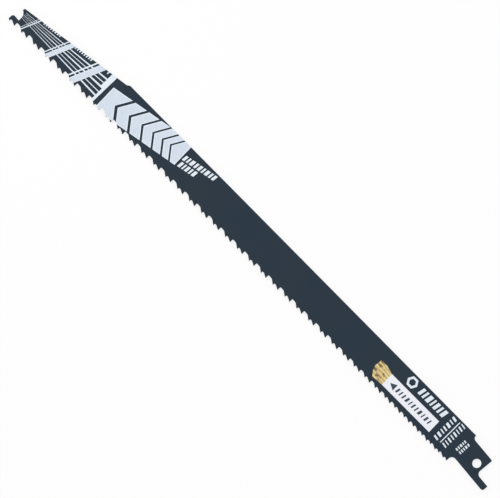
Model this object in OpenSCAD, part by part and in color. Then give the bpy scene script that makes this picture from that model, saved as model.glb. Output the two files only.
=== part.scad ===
/* [Tang] */
// Thickness of the steel strip
strip_t = 1.27; // [0.9:0.01:1.6]
// Width of the tang that the saw's clamp holds
tang_w = 12.3; // [11.6:0.05:12.8]
// Bore of the hole that the clamp's pin enters
hole_d = 4.2; // [3.8:0.05:4.6]
// Length from the hole's centre to the end of the finger
finger_reach = 11.15; // [10:0.05:13]
// Width of the finger, which lies along the toothed side
finger_w = 3.15; // [2.8:0.05:3.6]
// Radius of the finger's outer end corner
finger_end_r = 1.2; // [0.5:0.05:1.6]
// Radius of the finger's inner end corner
finger_tip_r = 0.45; // [0.2:0.05:0.7]
// Length from the hole's centre to the shoulder beside the finger
shoulder_reach = 3.55; // [3.2:0.05:4.2]
// Radius of the hollow between the finger and the shoulder
finger_root_r = 2; // [1:0.05:2.2]
// Radius of the shoulder's outer corner
shoulder_r = 0.6; // [0.3:0.05:1]

/* [Body] */
// Length from the hole's centre to the heel, where the body widens
heel_reach = 9.95; // [8.5:0.05:12]
// Height of the tooth line over the tang's centre line at the heel
heel_rise = 10; // [9.4:0.05:11]
// Drop of the back edge under the tang's centre line at the heel
heel_drop = 7.92; // [7.4:0.02:8.6]
// Radius of the hollow before the heel tooth
heel_r = 2.15; // [1:0.05:2.5]
// Radius of the hollow where the tang meets the back edge
back_heel_r = 1.65; // [0.8:0.05:2]
// Angle of the back edge to the stroke
back_slope = 4.89; // [4.6:0.01:5.1]

/* [Nose] */
// Length of the tapered nose, from the step in the back edge to its end
nose_len = 59.1; // [50:0.1:65]
// Length of the slanting step where the nose starts
step_run = 1.3; // [0.8:0.05:2]
// Height of that step
step_rise = 1.05; // [0.6:0.05:1.5]
// Width of the nose at its end
nose_end_w = 8.8; // [8.4:0.05:10]
// Height of the upper jaw, on the toothed side
upper_jaw_w = 3.5; // [3.3:0.05:4]
// Radius of the upper jaw's inner corner
upper_jaw_r = 1.1; // [0.5:0.05:1.4]
// Distance that the lower jaw stays back behind the upper one
lower_jaw_back = 1.4; // [1:0.05:1.8]
// Height of the lower jaw at its end
lower_jaw_w = 1.4; // [1.3:0.05:1.8]
// Radius of the lower jaw's two corners
lower_jaw_r = 0.45; // [0.2:0.05:0.5]
// Flat on the lower jaw beside the bite
chin = 0.7; // [0.5:0.05:0.9]
// Depth of the bite between the jaws
bite_depth = 3.8; // [3.4:0.05:4.4]
// Lean of the bite's inner wall
bite_lean = 0.4; // [0.2:0.05:0.6]

/* [Teeth] */
// Number of tooth pairs after the single tooth at the heel
pairs = 39; // [34:1:41]
// Spacing of the two teeth of a pair
pair_spacing = 3.14; // [3.1:0.02:3.3]
// Spacing from the heel tooth to the first pair
first_gap = 1.92; // [1.8:0.02:2.2]
// Growth of the gap from one fine pair to the next
gap_growth = 0.2; // [0.18:0.001:0.22]
// Gap between the coarse pairs
coarse_gap = 4.41; // [4.2:0.01:4.6]
// Growth of the gap from one coarse pair to the next
coarse_growth = 0.0051; // [0.002:0.0001:0.008]
// Angle of the fine part of the tooth line to the stroke
fine_slope = 4.71; // [4.5:0.01:4.9]
// Angle of the coarse part of the tooth line to the stroke
coarse_slope = 5.11; // [4.9:0.01:5.3]
// Drop of the heel tooth and of each pair's second tooth under the tooth line
second_drop = 0.14; // [0:0.01:0.16]
// Angle to the stroke of the flank that runs down into a gullet
flank_angle = 30; // [27:0.5:31]
// Angle to the stroke of the flank inside a pair
notch_angle = 22; // [21.5:0.5:26]
// Angle by which a tooth's face hooks towards the tang
rake_angle = 5.5; // [0:0.5:6]
// Width of the flat at a tooth's tip
tip_land = 0.1; // [0.06:0.01:0.14]
// Depth of the notch inside a pair, under the second tip
notch_depth = 1.04; // [0.9:0.01:1.05]
// Depth of a gullet between pairs, as a share of its gap
gullet_share = 0.43; // [0.42:0.005:0.45]
// Radius at the foot of a tooth's face
face_foot_r = 0.5; // [0.3:0.01:0.5]
// Radius at the foot of a flank
flank_foot_r = 1.2; // [0.5:0.05:1.3]
// Sideways lean of a tooth's tip, to one side and the other in turn
tooth_set = 0.25; // [0.15:0.01:0.35]
// Height of the part of a tooth that leans
set_height = 0.8; // [0.6:0.01:0.82]

/* [Hidden] */
$fn = 96;
coat = [0.18, 0.23, 0.28];

// Overlap of shapes that are joined or cut, so that none of them only touch
lap = 0.5;
slight_lap = 0.05;

// What a rounding's arc gains in radius, so that it crosses its two edges and doesn't only touch them
arc_gain = 0.003;

// Tooth 0 stands at the heel, an odd tooth starts a pair and an even one ends it
tooth_count = 2 * pairs + 1;
function gap_after(pair) = min(first_gap + gap_growth * pair, coarse_gap + coarse_growth * pair);
function pitch_after(i) = i % 2 == 1 ? pair_spacing : gap_after(i / 2);
tooth_xs = [for (i = 0, x = heel_reach; i < tooth_count; x = x + pitch_after(i), i = i + 1) x];

// The tooth line turns a little in the gullet where the gaps stop growing
last_fine = 2 * ceil((coarse_gap - first_gap) / (gap_growth - coarse_growth));
turn_x = (tooth_xs[last_fine] + tooth_xs[last_fine + 1]) / 2;
turn_y = heel_rise + (turn_x - heel_reach) * tan(fine_slope);
function tooth_line(x) = turn_y + (x - turn_x) * tan(x < turn_x ? fine_slope : coarse_slope);

// The last tooth's flank runs out at the nose's end
last_flank = 1.05;
nose_x = tooth_xs[tooth_count - 1] + last_flank;
nose_top = tooth_line(nose_x);
nose_low = nose_top - nose_end_w;

// The back edge, the step in it and the nose's own back
function back_edge(x) = -heel_drop + (x - heel_reach) * tan(back_slope);
step_x = nose_x - nose_len;
step_end = [step_x + step_run, back_edge(step_x) + step_rise];
nose_slope = atan2(nose_low - step_end[1], nose_x - step_end[0]);

// The two jaws and the bite between them
lower_jaw_x = nose_x - lower_jaw_back;
lower_jaw_low = nose_low - lower_jaw_back * tan(nose_slope);
lower_jaw_top = lower_jaw_low + lower_jaw_w;
upper_jaw_low = nose_top - upper_jaw_w;
bite_x = nose_x - bite_depth;

function polar(a, r = 1) = r * [cos(a), sin(a)];
// Centre of an arc that touches two edges, which leave corner p at angles a and b, and its reach along them
function arc_centre(p, a, b, r) = p + polar((a + b) / 2, r / sin((b - a) / 2));
function arc_reach(a, b, r) = r / tan((b - a) / 2);

// The sliver between a corner and its arc, which rounds the corner where it is cut and fills it where added
module rounding(p, a, b, r) {
    reach = arc_reach(a, b, r);
    centre = arc_centre(p, a, b, r);
    difference() {
        polygon([p - polar((a + b) / 2, lap), p + polar(a, reach), centre, p + polar(b, reach)]);
        translate(centre) circle(r + arc_gain);
    }
}

// The gap after a tooth runs down its flank, along a level floor and up the next tooth's face
function tip_y(i) = tooth_line(tooth_xs[i]) - (i % 2 == 0 ? second_drop : 0);
function face_top(i) = [tooth_xs[i], tip_y(i)];
function flank_top(i) = [tooth_xs[i] + tip_land, tip_y(i)];
function depth_after(i) = i % 2 == 1 ? notch_depth : gullet_share * gap_after(i / 2);
function angle_after(i) = i % 2 == 1 ? notch_angle : flank_angle;
function floor_y(i) = tip_y(i + 1) - depth_after(i);
function flank_foot(i) = [flank_top(i)[0] + (tip_y(i) - floor_y(i)) / tan(angle_after(i)), floor_y(i)];
function face_foot(i) = [tooth_xs[i + 1] + depth_after(i) * tan(rake_angle), floor_y(i)];
function floor_middle(i) = (flank_foot(i)[0] + face_foot(i)[0]) / 2;

module gap_cut(i) {
    difference() {
        polygon([
            flank_top(i),
            flank_foot(i),
            face_foot(i),
            face_top(i + 1),
            flank_top(i + 1),
            flank_top(i + 1) + [0, 2 * lap],
            flank_top(i) + [0, 2 * lap]
        ]);
        rounding(flank_foot(i), 0, 180 - angle_after(i), flank_foot_r);
        rounding(face_foot(i), 90 + rake_angle, 180, face_foot_r);
    }
}

// The heel tooth's tip and the last tooth's flank
module end_cuts() {
    start = flank_top(tooth_count - 1);
    run = nose_x + lap - start[0];
    polygon([start, start + [run, -run * tan(flank_angle)], start + [run, 2 * lap], start + [0, 2 * lap]]);
    polygon([
        flank_top(0),
        flank_top(0) + [0, 2 * lap],
        [heel_reach - lap, tip_y(0) + 2 * lap],
        [heel_reach - lap, tip_y(0)]
    ]);
}

// Tang with its finger, and the hollows where it runs into the body
module tang_plan() {
    half_w = tang_w / 2;
    finger_low = half_w - finger_w;
    difference() {
        union() {
            translate([-shoulder_reach, -half_w]) square([shoulder_reach + heel_reach + lap, tang_w]);
            translate([-finger_reach, finger_low]) square([finger_reach, finger_w]);
            rounding([-shoulder_reach, finger_low], 180, 270, finger_root_r);
            rounding([heel_reach, half_w], 90, 180, heel_r);
            rounding([heel_reach, -half_w], 180, 270, min(back_heel_r, heel_drop - half_w));
        }
        rounding([-finger_reach, half_w], 270, 360, finger_end_r);
        rounding([-finger_reach, finger_low], 0, 90, finger_tip_r);
        rounding([-shoulder_reach, -half_w], 0, 90, shoulder_r);
    }
}

module body_plan() {
    polygon([
        [heel_reach, -heel_drop],
        [step_x, back_edge(step_x)],
        step_end,
        [nose_x, nose_low],
        [nose_x, nose_top + lap],
        [turn_x, turn_y + lap],
        [heel_reach, heel_rise + lap]
    ]);
}

module bite_cut() {
    inner_wall = [bite_x + bite_lean, lower_jaw_top + lower_jaw_x - chin - bite_x - bite_lean];
    polygon([
        [nose_x + lap, upper_jaw_low],
        [bite_x, upper_jaw_low],
        inner_wall,
        [lower_jaw_x - chin, lower_jaw_top],
        [lower_jaw_x, lower_jaw_top],
        [lower_jaw_x, lower_jaw_low - lap],
        [nose_x + lap, lower_jaw_low - lap]
    ]);
    rounding([nose_x, upper_jaw_low], 90, 180, upper_jaw_r);
    rounding([lower_jaw_x, lower_jaw_top], 180, 270, lower_jaw_r);
    rounding([lower_jaw_x, lower_jaw_low], 90, 180 + nose_slope, lower_jaw_r);
}

module outline() {
    difference() {
        union() {
            tang_plan();
            body_plan();
        }
        for (i = [0 : tooth_count - 2]) gap_cut(i);
        end_cuts();
        bite_cut();
    }
}

// Everything a little below the line at which the teeth start to lean
module below_bend() {
    start_x = -finger_reach - lap;
    end_x = nose_x + lap;
    depth = set_height + slight_lap;
    polygon([
        [start_x, -heel_drop - lap],
        [end_x, -heel_drop - lap],
        [end_x, tooth_line(end_x) - depth],
        [turn_x, turn_y - depth],
        [start_x, tooth_line(start_x) - depth]
    ]);
}

// Columns that hold every second tooth, from the gullet before it to the gullet after it
module columns(first) {
    for (i = [first : 2 : tooth_count - 1]) {
        start_x = i == 0 ? heel_reach - lap : floor_middle(i - 1) - slight_lap;
        end_x = i == tooth_count - 1 ? nose_x + lap : floor_middle(i) + slight_lap;
        translate([start_x, 0]) square([end_x - start_x, nose_top + lap]);
    }
}

// Strip along a stretch of the tooth line, upright below the bend and leaning by a share of its height above
module leaning_run(start_x, end_x, slope, share) {
    over = set_height + lap;
    lean = over * share;
    half_t = strip_t / 2;
    translate([start_x, tooth_line(start_x) - set_height, 0])
        rotate([0, 0, slope])
            rotate([90, 0, 90])
                linear_extrude((end_x - start_x) / cos(slope))
                    polygon([
                        [-lap, -half_t],
                        [0, -half_t],
                        [over, lean - half_t],
                        [over, lean + half_t],
                        [0, half_t],
                        [-lap, half_t]
                    ]);
}

// Every second tooth, with tips that stand tooth_set out of the strip
module set_teeth(first, side) {
    tip_height = set_height - (first == 0 ? second_drop : 0);
    share = side * tooth_set / tip_height;
    intersection() {
        linear_extrude(strip_t + 4 * tooth_set, center = true)
            intersection() {
                outline();
                columns(first);
            }
        union() {
            leaning_run(heel_reach - lap, turn_x, fine_slope, share);
            leaning_run(turn_x, nose_x + lap, coarse_slope, share);
        }
    }
}

module blade() {
    color(coat)
        difference() {
            union() {
                linear_extrude(strip_t, center = true)
                    intersection() {
                        outline();
                        below_bend();
                    }
                set_teeth(0, 1);
                set_teeth(1, -1);
            }
            cylinder(d = hole_d, h = strip_t + 2 * lap, center = true);
        }
}

blade();
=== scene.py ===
import math

import bmesh
import bpy
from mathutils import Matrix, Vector


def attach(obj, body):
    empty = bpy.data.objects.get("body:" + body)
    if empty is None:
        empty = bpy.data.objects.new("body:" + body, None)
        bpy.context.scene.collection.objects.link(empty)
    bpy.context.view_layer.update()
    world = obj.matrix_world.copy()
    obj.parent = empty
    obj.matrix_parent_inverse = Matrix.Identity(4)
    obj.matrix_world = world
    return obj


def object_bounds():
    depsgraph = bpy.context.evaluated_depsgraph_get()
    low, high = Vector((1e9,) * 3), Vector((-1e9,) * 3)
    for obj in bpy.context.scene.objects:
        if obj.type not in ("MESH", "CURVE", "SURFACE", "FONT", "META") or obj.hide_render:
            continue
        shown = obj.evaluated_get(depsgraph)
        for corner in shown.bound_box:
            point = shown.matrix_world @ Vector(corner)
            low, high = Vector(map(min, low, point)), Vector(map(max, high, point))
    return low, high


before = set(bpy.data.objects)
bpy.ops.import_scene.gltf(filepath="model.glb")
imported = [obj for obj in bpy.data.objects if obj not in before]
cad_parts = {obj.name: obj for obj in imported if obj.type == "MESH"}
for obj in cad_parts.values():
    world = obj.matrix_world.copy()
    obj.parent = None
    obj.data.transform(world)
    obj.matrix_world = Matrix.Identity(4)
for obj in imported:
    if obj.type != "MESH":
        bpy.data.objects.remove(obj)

cad_low, cad_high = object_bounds()

MM = 0.001
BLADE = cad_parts["blade"]

# The photograph's frame: the point on the blade under its middle, its width there, and its turn
VIEW_CENTRE = Vector((141.06, 16.83)) * MM
VIEW_WIDTH = 227.6 * MM
VIEW_TURN = math.radians(-129.8)

# The camera's lens and sensor in millimetres, and the nearest and farthest that it sees in metres
LENS = 200.0
SENSOR = 36.0
NEAREST_SEEN = 0.01
FARTHEST_SEEN = 20

# Light level of the surroundings, and each lamp's place from the blade's middle, size and watts
WORLD_LIGHT = 0.6
KEY_PLACE = (0.75, 0.1, 0.95)
KEY_SIZE = 0.7
KEY_POWER = 6.2
FILL_PLACE = (-0.7, -0.35, 0.8)
FILL_SIZE = 0.9
FILL_POWER = 2.2

# The floor's half width, its grey, and its even white with a share that keeps shadows faint
FLOOR_HALF = 3.0
FLOOR_GREY = 0.85
FLOOR_WHITE = 1.03
WHITE_SHARE = 0.78

# Corner at the nose's end and at the height of the highest tooth, in millimetres from the tang's hole
NOSE_CORNER = Vector((cad_high.x, cad_high.y)) / MM

# Start of each group of print: back from that corner near the nose, and from the hole elsewhere
NOSE_START = NOSE_CORNER - Vector((52.36, 22.41))
BLOCK_START = NOSE_CORNER - Vector((98.06, 28.71))
SHORT_ROW_START = NOSE_CORNER - Vector((109.26, 21.61))
LONG_ROW_START = NOSE_CORNER - Vector((116.46, 27.31))
HEXAGON_CENTRE = Vector((47.1, -1.1))
BOLD_ROW_START = Vector((25.9, -4.9))
LABEL_START = Vector((25.7, 0.97))
RULE_START = Vector((19.2, -6.0))

# Directions of the print on the blade, in degrees from the stroke
NOSE_SLOPE = 13.3
BAR_UPRIGHT = 94.0
BAND_UPRIGHT = 72.0
PRINT_SLOPE = 15.2
ROW_SLOPE = 16.0
PRINT_UPRIGHT = 96.5
SHANK_UPRIGHT = 95.0
SMALL_UPRIGHT = 92.4
EDGE_SLOPE = 5.0

# Ink stands this far out of the coat, more by one layer over other ink, and reaches a little into it
INK_LIFT = 0.02 * MM
LAYER = 0.012 * MM
INK_ROOT = 0.012 * MM

# Ink stays back from the blade's edges by this much, and by one layer more over other ink
INK_BACK = 0.015 * MM

# Ink lies on the coat, over one layer of ink or over two
INK_LAYERS = 3

# Faces of the blade whose normal rises by more than this carry print
FACES_UP = 0.5

# Points closer than this are joined: in the blade's copy, and where two outlines of a film meet
SAME_POINT = 0.0001 * MM
SAME_FILM_POINT = 0.001 * MM

# Neighbouring faces, and neighbouring edges, that turn by less than this are joined in a film
NEARLY_FLAT = math.radians(2)
NEARLY_STRAIGHT = math.radians(0.5)

# Finishes, as screen colours from 0 to 255
WHITE = (255, 255, 255)
COAT_COOL = (34, 48, 62)
COAT_WARM = (38, 50, 60)
COAT_SPECK = (56, 68, 80)
# Cut edges: grinding streaks, lighter on the whole than the coat, the lightness being a painted
# highlight along the edges
EDGE_DARK = (38, 48, 58)
EDGE_GRINDING_AND_HIGHLIGHT = (64, 74, 84)
INK_WHITE = (232, 240, 247)
INK_PALE = (213, 223, 235)
INK_SHADE = (202, 213, 227)
LABEL_WHITE = (240, 243, 248)
LABEL_SHADE = (228, 232, 240)
LABEL_DARK = (62, 70, 86)
LABEL_DARKER = (50, 58, 72)
TAN = (228, 211, 150)
TAN_DARK = (172, 130, 80)
TAN_KNOT = (104, 66, 46)

# How rough and how shiny coat, cut edges and ink are, and how deep their unevenness is
COAT_ROUGHNESS = 0.36
EDGE_ROUGHNESS = 0.3
INK_ROUGHNESS = 0.5
COAT_SHINE = 0.12
INK_SHINE = 0.2
COAT_DEPTH = 0.006 * MM
INK_DEPTH = 0.003 * MM

# Sawn wood: radians of wave for each metre across, radians that noise adds, and where it lies
WOOD_WAVES = 4200.0
WOOD_WAVINESS = 9.0
WOOD_START = 55.5 * MM
WOOD_END = 64 * MM


def linear(colour):
    """Linear red, green, blue and full opacity of a screen colour."""
    shares = [c / 255 for c in colour]
    return (*(s / 12.92 if s <= 0.04045 else ((s + 0.055) / 1.055) ** 2.4 for s in shares), 1.0)


class Socket:
    """A shader node's output. Its sums and products with others, or with numbers, are Math nodes."""

    def __init__(self, look, output):
        self.look = look
        self.output = output

    def maths(self, operation, first, second):
        return self.look.node("ShaderNodeMath", {"operation": operation}, {0: first, 1: second})

    def __add__(self, other):
        return self.maths("ADD", self, other)

    def __sub__(self, other):
        return self.maths("SUBTRACT", self, other)

    def __rsub__(self, other):
        return self.maths("SUBTRACT", other, self)

    def __mul__(self, other):
        return self.maths("MULTIPLY", self, other)

    __radd__ = __add__


class Look:
    """The nodes of a material or of the surroundings, with short calls for them."""

    def __init__(self, owner):
        owner.use_nodes = True
        self.owner = owner
        self.tree = owner.node_tree
        self.tree.nodes.clear()

    def node(self, kind, settings=None, sockets=None, result=0):
        """Adds a node, with its settings, then its sockets by name or place. One output comes back."""
        made = self.tree.nodes.new(kind)
        for key, value in (settings or {}).items():
            setattr(made, key, value)
        shown = [s for s in made.inputs if s.enabled]
        for key, value in (sockets or {}).items():
            socket = shown[key] if isinstance(key, int) else next(s for s in shown if s.name == key)
            if isinstance(value, Socket):
                self.tree.links.new(value.output, socket)
            else:
                socket.default_value = value
        outputs = [s for s in made.outputs if s.enabled]
        if not outputs:
            return made
        return Socket(self, outputs[result] if isinstance(result, int) else made.outputs[result])

    def place(self, stretch=(1, 1, 1)):
        """Place on the part in metres, stretched for a pattern with a direction."""
        place = self.node("ShaderNodeTexCoord", result="Object")
        return self.node("ShaderNodeVectorMath", {"operation": "MULTIPLY"}, {0: place, 1: stretch})

    def noise(self, size, detail=2.0, stretch=(1, 1, 1)):
        """Noise around 0.5, with marks about size metres across."""
        sockets = {"Vector": self.place(stretch), "Scale": 1 / size, "Detail": detail}
        return self.node("ShaderNodeTexNoise", sockets=sockets)

    def clamped(self, value, low=0.0, high=1.0, to_low=0.0, to_high=1.0):
        """Value taken from its own range to another one, and kept in it."""
        sockets = {0: value, 1: low, 2: high, 3: to_low, 4: to_high}
        return self.node("ShaderNodeMapRange", {"clamp": True}, sockets)

    def blend(self, factor, first, second):
        """One colour turning into another."""
        sockets = {"Factor": factor, "A": first, "B": second}
        return self.node("ShaderNodeMix", {"data_type": "RGBA", "clamp_factor": True}, sockets)

    def bumps(self, height, distance):
        """Normal of a surface with this height from 0 to 1, over a distance in metres."""
        sockets = {"Height": height, "Distance": distance, "Strength": 1.0}
        return self.node("ShaderNodeBump", sockets=sockets)

    def seen(self):
        """1 for rays from the camera, glossy ones and those through glass, and 0 for all others."""
        rays = ("Is Camera Ray", "Is Glossy Ray", "Is Transmission Ray")
        first, second, third = (self.node("ShaderNodeLightPath", result=ray) for ray in rays)
        return first + second + third

    def finish(self, **sockets):
        """Closes a material with a Principled surface."""
        named = {key.replace("_", " "): value for key, value in sockets.items()}
        surface = self.node("ShaderNodeBsdfPrincipled", sockets=named)
        self.node("ShaderNodeOutputMaterial", sockets={"Surface": surface})
        return self.owner


def coat_look():
    """Dark satin coat over a rolled strip, with grinding lines on the cut edges, whose lighter colour
    is partly a painted highlight along the edges.
    """
    look = Look(bpy.data.materials.new("blue_grey_coat"))
    clouds = look.noise(34 * MM, detail=3.0)
    peel = look.noise(1.3 * MM)
    speckle = look.noise(0.35 * MM)
    roll = look.noise(0.5 * MM, stretch=(0.03, 1, 1))
    grinding = look.noise(0.12 * MM, stretch=(1, 1, 0.05))
    normal = look.node("ShaderNodeNewGeometry", result="Normal")
    facing = look.node("ShaderNodeSeparateXYZ", sockets={0: normal}, result="Z")
    cut_edge = look.clamped(facing * facing, 0.5, 0.2)

    warmth = look.clamped(clouds, 0.35, 0.65)
    specks = look.clamped(speckle, 0.5, 0.9, to_high=0.25)
    ground = look.clamped(grinding, 0.35, 0.7)
    flat_colour = look.blend(warmth, linear(COAT_COOL), linear(COAT_WARM))
    flat_colour = look.blend(specks, flat_colour, linear(COAT_SPECK))
    # Cut edges get grinding streaks in a colour lighter than the coat: real grinding, and a painted
    # highlight along the edges
    edge_colour_with_painted_highlight = look.blend(ground, linear(EDGE_DARK), linear(EDGE_GRINDING_AND_HIGHLIGHT))

    flat_roughness = COAT_ROUGHNESS + roll * 0.12 + speckle * 0.08
    edge_roughness = EDGE_ROUGHNESS + grinding * 0.25
    flat_height = peel * 0.5 + speckle * 0.2 + roll * 0.3
    return look.finish(
        Base_Color=look.blend(cut_edge, flat_colour, edge_colour_with_painted_highlight),
        Roughness=flat_roughness + cut_edge * (edge_roughness - flat_roughness),
        Specular_IOR_Level=COAT_SHINE,
        Normal=look.bumps(flat_height * (1 - cut_edge) + grinding * cut_edge, COAT_DEPTH),
    )


def ink_look(name, colour, darker):
    """Screen-printed ink: nearly flat colour with faint mottling and a slightly uneven surface."""
    look = Look(bpy.data.materials.new(name))
    mottling = look.noise(1.4 * MM, detail=4.0)
    pores = look.noise(0.22 * MM)
    shade = look.clamped(mottling, 0.3, 0.7, to_high=0.6)
    shade = shade + look.clamped(pores, 0.62, 0.8, to_high=0.4)
    return look.finish(
        Base_Color=look.blend(shade, linear(colour), linear(darker)),
        Roughness=INK_ROUGHNESS + pores * 0.14,
        Specular_IOR_Level=INK_SHINE,
        Normal=look.bumps(pores, INK_DEPTH),
    )


def tan_look():
    """Tan ink like sawn wood: lines along the blade, and brown knots, more of them at the far end."""
    look = Look(bpy.data.materials.new("tan_ink"))
    wobble = look.noise(5 * MM, stretch=(0.3, 1, 1))
    along = look.node("ShaderNodeSeparateXYZ", sockets={0: look.place()}, result="X")
    across = look.node("ShaderNodeSeparateXYZ", sockets={0: look.place()}, result="Y")
    angle = across * WOOD_WAVES + wobble * WOOD_WAVINESS
    waves = look.node("ShaderNodeMath", {"operation": "SINE"}, {0: angle})
    fibres = look.noise(0.3 * MM, stretch=(0.06, 1, 1))
    grain = look.clamped(waves, 0.1, 1.0, to_high=0.7)
    grain = grain + look.clamped(fibres, 0.45, 0.75, to_high=0.3)
    knots = look.noise(1.5 * MM, stretch=(0.5, 1, 1))
    knots = knots + look.clamped(along, WOOD_START, WOOD_END, -0.06, 0.09)
    knots = look.clamped(knots, 0.54, 0.66, to_high=0.9)
    wood = look.blend(grain, linear(TAN), linear(TAN_DARK))
    return look.finish(
        Base_Color=look.blend(knots, wood, linear(TAN_KNOT)),
        Roughness=INK_ROUGHNESS + fibres * 0.12,
        Specular_IOR_Level=INK_SHINE,
        Normal=look.bumps(fibres, INK_DEPTH),
    )


class Grid:
    """A place on the blade in millimetres, and the directions in which print runs and stands."""

    def __init__(self, start, along, upright):
        self.start = start
        self.along = Vector((math.cos(math.radians(along)), math.sin(math.radians(along))))
        self.up = Vector((math.cos(math.radians(upright)), math.sin(math.radians(upright))))

    def at(self, s, t):
        """The point s along and t up from the start."""
        return self.start + self.along * s + self.up * t

    def outline(self, *corners):
        """The points of an outline whose corners are given as pairs of s and t."""
        return [self.at(*corner) for corner in corners]

    def bar(self, s, t, width, height, lean=0.0):
        """A four-sided bar whose top is moved along by lean."""
        top_s, top_t = s + lean, t + height
        return self.outline((s, t), (s + width, t), (top_s + width, top_t), (top_s, top_t))

    def banner(self, height, start, end, notch, point, rim=0.0):
        """A band from a notch to a point, in two halves, or the field inside its rim."""
        half = height / 2
        notch_rim = rim * math.hypot(1, notch / half)
        point_rim = rim * math.hypot(1, point / half)
        near, deep = start + notch_rim + rim * notch / half, start + notch_rim + notch
        far, tip = end - point_rim + rim * point / half, end - point_rim + point
        edges = (rim, height - rim)
        return [self.outline((near, t), (far, t), (tip, half), (deep, half)) for t in edges]

    def dashes(self, widths, gap, height, lean):
        """A row of bars with these widths, and equal gaps."""
        bars, s = [], 0.0
        for width in widths:
            bars.append(self.bar(s, 0, width, height, lean))
            s += width + gap
        return bars

    def hexagon_ring(self, radius, wall):
        """A hexagonal ring round the grid's start, as its six sides."""
        turns = [math.radians(degrees) for degrees in range(0, 361, 60)]
        rim = [(math.cos(turn), math.sin(turn)) for turn in turns]
        inner = radius - wall
        sides = []
        for (c0, s0), (c1, s1) in zip(rim, rim[1:]):
            corners = ((c0, s0, radius), (c1, s1, radius), (c1, s1, inner), (c0, s0, inner))
            sides.append(self.outline(*((c * r, s * r) for c, s, r in corners)))
        return sides


def printed_side(layer):
    """The upward faces of the strip and the leaning teeth, smaller all round for each layer of ink."""
    side = bmesh.new()
    side.from_mesh(BLADE.data)
    hidden = [face for face in side.faces if face.normal.z < FACES_UP]
    bmesh.ops.delete(side, geom=hidden, context="FACES")
    bmesh.ops.remove_doubles(side, verts=side.verts, dist=SAME_POINT)
    edging = bmesh.ops.inset_region(
        side,
        faces=side.faces,
        use_boundary=True,
        use_even_offset=True,
        thickness=INK_BACK + layer * LAYER,
    )
    bmesh.ops.delete(side, geom=edging["faces"], context="FACES")
    return side


def cut_to(side, outline):
    """A copy of the printed side, cut to a convex outline given in millimetres."""
    corners = [Vector((*corner, 0)) * MM for corner in outline]
    edges = list(zip(corners, corners[1:] + corners[:1]))

    # Positive for an outline that runs anticlockwise, whose outer side is to the right of each edge
    turn = sum(a.x * b.y - b.x * a.y for a, b in edges)
    cut = side.copy()
    for a, b in edges:
        run = b - a
        outward = Vector((run.y, -run.x, 0)).normalized() * math.copysign(1, turn)
        geometry = cut.verts[:] + cut.edges[:] + cut.faces[:]
        bmesh.ops.bisect_plane(
            cut, geom=geometry, dist=SAME_POINT, plane_co=a, plane_no=outward, clear_outer=True
        )
    return cut


def printed_area(side, outlines):
    """The printed side within all these convex outlines, with no points or edges to spare."""
    film = bmesh.new()
    for outline in outlines:
        cut = cut_to(side, outline)
        part = bpy.data.meshes.new("part")
        cut.to_mesh(part)
        cut.free()
        film.from_mesh(part)
        bpy.data.meshes.remove(part)
    bmesh.ops.remove_doubles(film, verts=film.verts, dist=SAME_FILM_POINT)
    bmesh.ops.dissolve_limit(film, angle_limit=NEARLY_FLAT, verts=film.verts, edges=film.edges)

    # Points left in the middle of straight edges go
    between = [vertex for vertex in film.verts if len(vertex.link_edges) == 2]
    straight = [vertex for vertex in between if vertex.calc_edge_angle(0) < NEARLY_STRAIGHT]
    bmesh.ops.dissolve_verts(film, verts=straight)
    return film


def ink(name, sides, outlines, material, layer=0):
    """A film of ink over the coat, with these convex outlines, as a piece that rides on the blade."""
    film = printed_area(sides[layer], outlines)

    # The film thins out at the tips of the leaning teeth, so that it isn't higher than they are
    lift = INK_LIFT + layer * LAYER
    for vertex in film.verts:
        vertex.co.z = min(vertex.co.z + lift, cad_high.z)
    mesh = bpy.data.meshes.new(name)
    film.to_mesh(mesh)
    film.free()
    mesh.materials.append(material)
    piece = bpy.data.objects.new(name, mesh)
    bpy.context.scene.collection.objects.link(piece)
    body = piece.modifiers.new("thickness", "SOLIDIFY")
    body.thickness = lift + INK_ROOT
    body.offset = -1
    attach(piece, "root")


def print_block(sides, white, pale):
    """Bold chevrons with white rims, in a band that climbs across the blade, wider towards the nose."""
    band = Grid(BLOCK_START, PRINT_SLOPE, PRINT_UPRIGHT)
    length, height, point, rim = 44.8, 13.1, 4.4, 0.4
    chevrons, start = [], 0.0
    for width, gap in ((2.6, 1.0), (3.4, 1.1), (4.1, 1.1), (4.9, 1.2), (5.6, 1.4), (6.2, 1.6)):
        notch = point if chevrons else 0.0
        chevrons.append((start, start + width, notch, point))
        start += width + gap
    chevrons.append((start, length, point, 0.0))
    rims, fields = [], []
    for chevron in chevrons:
        rims += band.banner(height, *chevron)
        fields += band.banner(height, *chevron, rim)
    ink("print_chevron_rims", sides, rims, white)
    ink("print_chevron_fields", sides, fields, pale, layer=1)


def nose_bar(nose):
    """The bar across the nose, with a wider foot up to a step."""
    bar_start = nose.at(-0.07, 0)
    upright = Grid(bar_start, 0, BAR_UPRIGHT)
    bar_width, foot_width, step, across = 1.32, 2.7, 10.0, 19.0
    return [
        upright.bar(0, 0, bar_width, step),
        upright.bar(bar_width, 0, foot_width - bar_width, step),
        upright.bar(0, step, bar_width, across - step),
    ]


def nose_bands(nose):
    """Slanted bands across the nose, with the fields inside the rims of the wide ones."""
    first_band = nose.at(4.9, 0)
    slant = Grid(first_band, EDGE_SLOPE, BAND_UPRIGHT)
    across, rim = 30.0, 0.3

    # Place along the nose from the first band, and width
    wide = ((0, 3.3), (16.2, 2.4))
    narrow = ((4.3, 0.7), (19.4, 0.5), (34.2, 0.5), (35.3, 0.2))
    bands = [slant.bar(s, 0, width, across) for s, width in wide + narrow]
    fields = [slant.bar(s + rim, 0, width - 2 * rim, across) for s, width in wide]
    return bands, fields


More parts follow.
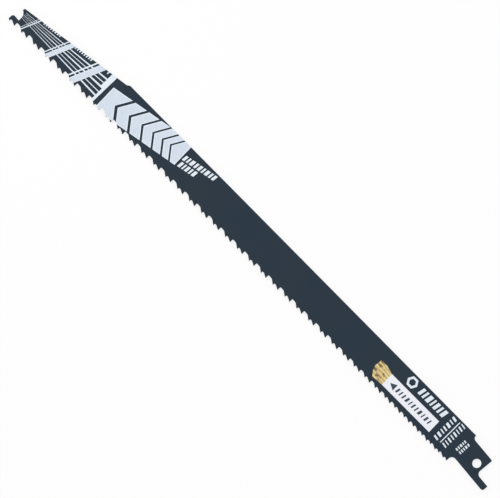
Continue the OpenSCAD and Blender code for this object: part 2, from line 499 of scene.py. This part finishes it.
def nose_rays(nose):
    """Lines from the bar to the nose's end, with their heights and widths at both ends."""
    near, far = 0.0, 48.9
    rays = []
    for near_t, far_t, near_width, far_width in (
        (5.0, 14.3, 0.75, 0.1),
        (7.2, 15.0, 0.45, 0.07),
        (9.4, 15.7, 0.85, 0.12),
        (11.9, 16.5, 0.45, 0.07),
        (14.1, 17.3, 0.75, 0.1),
    ):
        rays.append(nose.outline(
            (near, near_t - near_width / 2),
            (far, far_t - far_width / 2),
            (far, far_t + far_width / 2),
            (near, near_t + near_width / 2),
        ))
    return rays


def nose_ticks(nose):
    """Ticks along the nose's back, as groups with the place of their first one and their count."""
    back_edge = nose.at(3.7, 1.3)
    edge = Grid(back_edge, NOSE_SLOPE, 90)
    spacing, width, height, shrinking = 1.28, 0.6, 2.3, 0.016
    ticks = []
    for first, count in ((0.2, 1), (9.9, 8), (27.9, 8)):
        for i in range(count):
            s = first + spacing * i
            ticks.append(edge.bar(s, 0, width, height - shrinking * s))
    return ticks


def print_nose(sides, white, pale):
    """A bar and slanted bands across the nose, lines that close up towards its tip, and ticks."""
    nose = Grid(NOSE_START, 0, 90)
    bands, fields = nose_bands(nose)
    ink("print_nose_bar", sides, nose_bar(nose), white, layer=1)
    ink("print_nose_bands", sides, bands, white, layer=1)
    ink("print_nose_band_fields", sides, fields, pale, layer=2)
    ink("print_nose_rays", sides, nose_rays(nose), white)
    ink("print_nose_ticks", sides, nose_ticks(nose), white)


def print_rows(sides, white):
    """Rows of plain dashes beside the chevrons, over the body and on the shank."""
    long_row = Grid(LONG_ROW_START, ROW_SLOPE, PRINT_UPRIGHT)
    short_row = Grid(SHORT_ROW_START, ROW_SLOPE, PRINT_UPRIGHT)
    gap, lean, long_height, short_height = 0.75, 0.4, 2.7, 2.8
    dashes = long_row.dashes((1.3, 1.0, 1.6, 0.9, 1.4, 1.1, 1.7, 0.9, 1.3), gap, long_height, lean)
    dashes += short_row.dashes((1.5, 0.9, 1.3, 0.8, 1.4), gap, short_height, lean)
    ink("print_block_dashes", sides, dashes, white)

    bold_row = Grid(BOLD_ROW_START, EDGE_SLOPE, PRINT_UPRIGHT)
    gap, height, lean = 0.97, 3.7, 0.8
    dashes = bold_row.dashes((1.8, 1.1, 1.6, 0.9, 2.0, 1.1, 1.5), gap, height, lean)
    ink("print_bold_dashes", sides, dashes, white)
    hexagon = Grid(HEXAGON_CENTRE, EDGE_SLOPE, PRINT_UPRIGHT)
    radius, wall = 2.9, 1.2
    ink("print_hexagon", sides, hexagon.hexagon_ring(radius, wall), white)

    rule = Grid(RULE_START, EDGE_SLOPE, SHANK_UPRIGHT)
    width, length = 0.45, 12.7
    ink("print_rule", sides, [rule.bar(-width / 2, 0, width, length)], white)

    # Rows that run up the shank: start, direction, widths of the dashes, gap, height and lean
    dashes = []
    for start, upright, widths, gap, height, lean in (
        ((23.3, -5.7), SHANK_UPRIGHT, (1.1, 0.6, 1.3, 0.8, 0.6, 1.2, 0.9), 1.05, 2.5, 0.4),
        ((18.2, -6.4), SHANK_UPRIGHT, (0.6, 0.8, 0.5, 0.9, 0.6, 0.8, 0.5, 0.7), 1.05, 2.5, 0.4),
        ((11.65, -2.6), SMALL_UPRIGHT, (0.7, 0.5, 0.9, 0.6, 0.7), 0.6, 1.3, 0.2),
        ((9.6, -2.8), SMALL_UPRIGHT, (0.7, 0.9, 0.5, 0.7, 0.6), 0.6, 1.4, 0.2),
    ):
        dashes += Grid(Vector(start), upright, EDGE_SLOPE + 180).dashes(widths, gap, height, lean)
    ink("print_shank_dashes", sides, dashes, white)


def print_label(sides, label_white, dark, tan):
    """White label with dark dashes, and a flared tan end with the look of sawn wood."""
    label = Grid(LABEL_START, EDGE_SLOPE, PRINT_UPRIGHT)
    length, height = 30.4, 6.66
    ink("label_field", sides, [label.bar(0, 0, length, height)], label_white)
    flare = ((34.5, -1.1), (38.2, -1.1), (38.7, 2.5), (38.0, 4.7), (36.2, 7.1))
    ink("label_tan_end", sides, [label.outline((length, 0), *flare, (length, height))], tan)

    first_dash = label.at(2.4, 2.2)
    row = Grid(first_dash, EDGE_SLOPE, PRINT_UPRIGHT)
    gap, dash_height, lean = 1.15, 2.4, 0.6
    widths = (0.7, 1.1, 0.6, 1.3, 0.7, 0.9, 0.6, 1.2, 0.8, 0.7, 1.0)
    ink("label_dashes", sides, row.dashes(widths, gap, dash_height, lean), dark, layer=1)
    pointer = label.outline((25.0, 1.7), (28.2, 3.4), (25.0, 5.1))
    ink("label_pointer", sides, [pointer], dark, layer=1)


def floor_look():
    """Pale floor that the camera sees near white, with a faint shadow of the blade."""
    look = Look(bpy.data.materials.new("pale_floor"))
    grey = (FLOOR_GREY, FLOOR_GREY, FLOOR_GREY, 1.0)
    paint = look.node("ShaderNodeBsdfDiffuse", sockets={"Color": grey})
    white = look.node("ShaderNodeEmission", sockets={"Strength": FLOOR_WHITE})
    share = look.seen() * WHITE_SHARE
    both = look.node("ShaderNodeMixShader", sockets={0: share, 1: paint, 2: white})
    look.node("ShaderNodeOutputMaterial", sockets={"Surface": both})
    return look.owner


def floor():
    """Plain floor under the lowest tooth tips."""
    mesh = bpy.data.meshes.new("floor")
    corners = [(FLOOR_HALF * x, FLOOR_HALF * y, 0) for x, y in ((-1, -1), (1, -1), (1, 1), (-1, 1))]
    mesh.from_pydata(corners, [], [(0, 1, 2, 3)])
    mesh.materials.append(floor_look())
    plane = bpy.data.objects.new("floor", mesh)
    plane.location = (VIEW_CENTRE.x, VIEW_CENTRE.y, cad_low.z)
    bpy.context.scene.collection.objects.link(plane)


def area_light(name, place, size, power):
    """Soft square light that faces the blade's middle."""
    data = bpy.data.lights.new(name, "AREA")
    data.size = size
    data.energy = power
    lamp = bpy.data.objects.new(name, data)
    target = Vector((VIEW_CENTRE.x, VIEW_CENTRE.y, 0))
    lamp.location = target + Vector(place)
    lamp.rotation_euler = (target - lamp.location).to_track_quat("-Z", "Y").to_euler()
    bpy.context.scene.collection.objects.link(lamp)


def studio():
    """Even surroundings that the camera sees as white, one soft key light and one weaker fill."""
    look = Look(bpy.data.worlds.new("studio"))
    strength = look.clamped(look.seen(), to_low=WORLD_LIGHT)
    sky = look.node("ShaderNodeBackground", sockets={"Color": linear(WHITE), "Strength": strength})
    look.node("ShaderNodeOutputWorld", sockets={"Surface": sky})
    bpy.context.scene.world = look.owner
    area_light("key", KEY_PLACE, KEY_SIZE, KEY_POWER)
    area_light("fill", FILL_PLACE, FILL_SIZE, FILL_POWER)


def camera():
    """Camera straight over the blade, as in the photograph."""
    data = bpy.data.cameras.new("camera")
    data.lens = LENS
    data.sensor_width = SENSOR
    data.clip_start = NEAREST_SEEN
    data.clip_end = FARTHEST_SEEN
    seat = bpy.data.objects.new("camera", data)
    distance = VIEW_WIDTH * LENS / SENSOR
    seat.location = (VIEW_CENTRE.x, VIEW_CENTRE.y, distance)
    seat.rotation_euler = (0, 0, VIEW_TURN)
    bpy.context.scene.collection.objects.link(seat)
    bpy.context.scene.camera = seat


camera()
studio()
floor()
bpy.context.scene.view_settings.view_transform = "Standard"

BLADE.data.materials.clear()
BLADE.data.materials.append(coat_look())
white_ink = ink_look("white_ink", INK_WHITE, INK_PALE)
pale_ink = ink_look("pale_ink", INK_PALE, INK_SHADE)
label_ink = ink_look("label_ink", LABEL_WHITE, LABEL_SHADE)
dark_ink = ink_look("dark_ink", LABEL_DARK, LABEL_DARKER)
tan_ink = tan_look()

printed_sides = [printed_side(layer) for layer in range(INK_LAYERS)]
print_block(printed_sides, white_ink, pale_ink)
print_nose(printed_sides, white_ink, pale_ink)
print_rows(printed_sides, white_ink)
print_label(printed_sides, label_ink, dark_ink, tan_ink)
